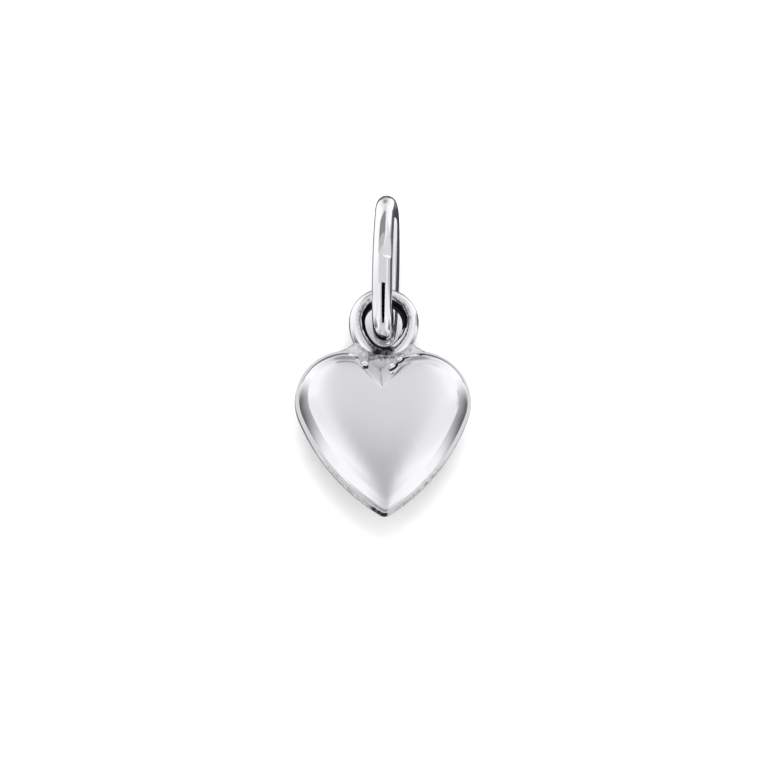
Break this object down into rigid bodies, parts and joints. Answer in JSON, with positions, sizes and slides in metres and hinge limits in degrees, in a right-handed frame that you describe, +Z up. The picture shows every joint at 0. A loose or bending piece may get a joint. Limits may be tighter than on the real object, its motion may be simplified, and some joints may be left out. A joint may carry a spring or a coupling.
{
  "type": "heart pendant",
  "caption": "Hollow puffed heart with a soldered ring in its cleft, hanging in a long oval wire bail that runs on a chain.",
  "frame": {"origin": "the inner top of the bail's loop, where a chain bears, with the pendant hanging below it", "axes": "+Z up along the hanging pendant, the front of the heart toward -Y, +X to the right"},
  "size_m": [0.012, 0.005, 0.0225],
  "materials": {
    "polished_wire": "polished sterling silver wire",
    "polished_heart": "polished sterling silver, with satin solder under the ring"
  },
  "bodies": {
    "bail": {"carrier_bail": "polished_wire"},
    "heart": {"heart_with_ring": "polished_heart"}
  },
  "joints": [
    {"name": "heart_swing", "type": "hinge", "parent": "bail", "child": "heart", "pos_m": [-0.00021, 0, -0.00848], "axis": [0, 1, 0], "range_deg": [-60, 60]}
  ]
}
